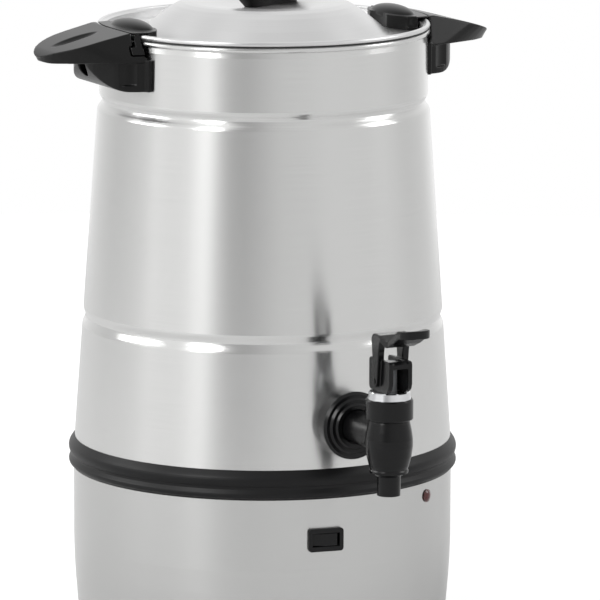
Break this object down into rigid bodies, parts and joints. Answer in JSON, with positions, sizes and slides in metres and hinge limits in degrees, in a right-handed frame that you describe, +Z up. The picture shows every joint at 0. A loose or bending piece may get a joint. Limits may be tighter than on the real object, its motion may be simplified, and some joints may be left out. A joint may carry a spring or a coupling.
{
  "type": "hot water urn",
  "caption": "Tapered steel hot water urn on a skirted heater base, with side handles, a twist-and-lift lid and a self-closing lever tap.",
  "frame": {"origin": "on the tank's axis, at the surface that the feet stand on", "axes": "+Z up along the tank's axis; the tap points to -Y; the handles lie on the X axis"},
  "size_m": [0.3016, 0.3363, 0.4127],
  "materials": {
    "tank_steel": "horizontally brushed stainless steel",
    "base_steel": "horizontally brushed stainless steel",
    "lid_steel": "satin stainless steel",
    "band_black": "matte black moulded plastic",
    "grip_black": "fine-textured matte black phenolic",
    "tap_black": "semi-gloss black moulded plastic",
    "chrome": "bright chrome plating",
    "stem_grey": "grey acetal",
    "zinc_steel": "zinc-plated steel",
    "grey_steel": "grey coated steel sheet",
    "heater_alloy": "cast aluminium",
    "element_sheath": "heat-darkened steel sheath",
    "ceramic": "glazed ceramic housing",
    "bakelite": "brown phenolic",
    "rubber_black": "black rubber",
    "silicone_grey": "grey silicone",
    "silicone_red": "red silicone",
    "nylon_white": "white nylon",
    "lens_red": "dark red moulded lens",
    "brass": "brass contact pins",
    "lead_brown": "brown silicone insulation",
    "lead_blue": "blue silicone insulation",
    "lead_green": "green silicone insulation",
    "lead_white": "white glass-braid insulation",
    "spring_steel": "stainless spring wire"
  },
  "bodies": {
    "urn": {"tank": "tank_steel", "base_shell": "base_steel", "trim_band": "band_black", "base_plate": "grey_steel", "base_screws": "zinc_steel", "foot_1": "rubber_black", "foot_2": "rubber_black", "foot_3": "rubber_black", "foot_4": "rubber_black", "heater_plate": "heater_alloy", "heating_element": "element_sheath", "thermostat": "ceramic", "thermal_cutout": "bakelite", "tie_stud": "zinc_steel", "stud_spacer": "zinc_steel", "heat_shield": "heater_alloy", "shield_nut": "zinc_steel", "base_nut": "zinc_steel", "power_inlet": "band_black", "inlet_pins": "brass", "live_lead": "lead_brown", "switched_lead": "lead_brown", "neutral_lead": "lead_blue", "earth_lead": "lead_green", "element_links": "lead_white", "switch_bezel": "band_black", "indicator_lens": "lens_red", "lens_clip": "zinc_steel", "handle_left": "grip_black", "handle_right": "grip_black", "handle_screws": "zinc_steel", "handle_washers": "silicone_red", "handle_nuts": "zinc_steel", "tap_rosette": "tap_black", "tap_body": "tap_black", "tap_outer_seal": "silicone_grey", "tap_inner_seal": "silicone_grey", "tap_nut": "nylon_white", "tap_bonnet": "tap_black", "tap_ring": "chrome", "tap_spring": "spring_steel"},
    "switch_rocker": {"switch_rocker": "tap_black"},
    "tap_valve": {"tap_stem": "stem_grey", "tap_seat_cup": "silicone_grey", "tap_pin": "tap_black"},
    "tap_lever": {"tap_lever": "tap_black"},
    "lid_seal": {"lid_seal": "rubber_black"},
    "lid": {"lid_shell": "lid_steel", "lid_knob": "grip_black", "knob_screw": "zinc_steel", "knob_washer": "zinc_steel", "lid_wing_left": "grip_black", "lid_wing_right": "grip_black", "wing_screws": "zinc_steel"}
  },
  "joints": [
    {"name": "switch_tilt", "type": "hinge", "parent": "urn", "child": "switch_rocker", "pos_m": [-0.01358, -0.11057, 0.077], "axis": [0, 0, 1], "range_deg": [0, 16]},
    {"name": "stem_lift", "type": "slide", "parent": "urn", "child": "tap_valve", "axis": [0, 0, 1], "range_m": [0, 0.00371], "deforming": ["tap_spring"]},
    {"name": "lever_press", "type": "hinge", "parent": "tap_valve", "child": "tap_lever", "pos_m": [0, -0.17, 0.1825], "axis": [1, 0, 0], "range_deg": [0, 28], "stiffness_Nm_per_rad": 0.08, "springref_deg": -34.38},
    {"name": "lid_lift", "type": "slide", "parent": "urn", "child": "lid_seal", "axis": [0, 0, 1], "range_m": [0, 0.25]},
    {"name": "lid_turn", "type": "hinge", "parent": "lid_seal", "child": "lid", "pos_m": [0, 0, 0.3725], "axis": [0, 0, 1], "range_deg": [0, 20]}
  ],
  "couplings": [
    {"joint": "lever_press", "follows": "stem_lift", "rad_per_m": 131.58}
  ]
}
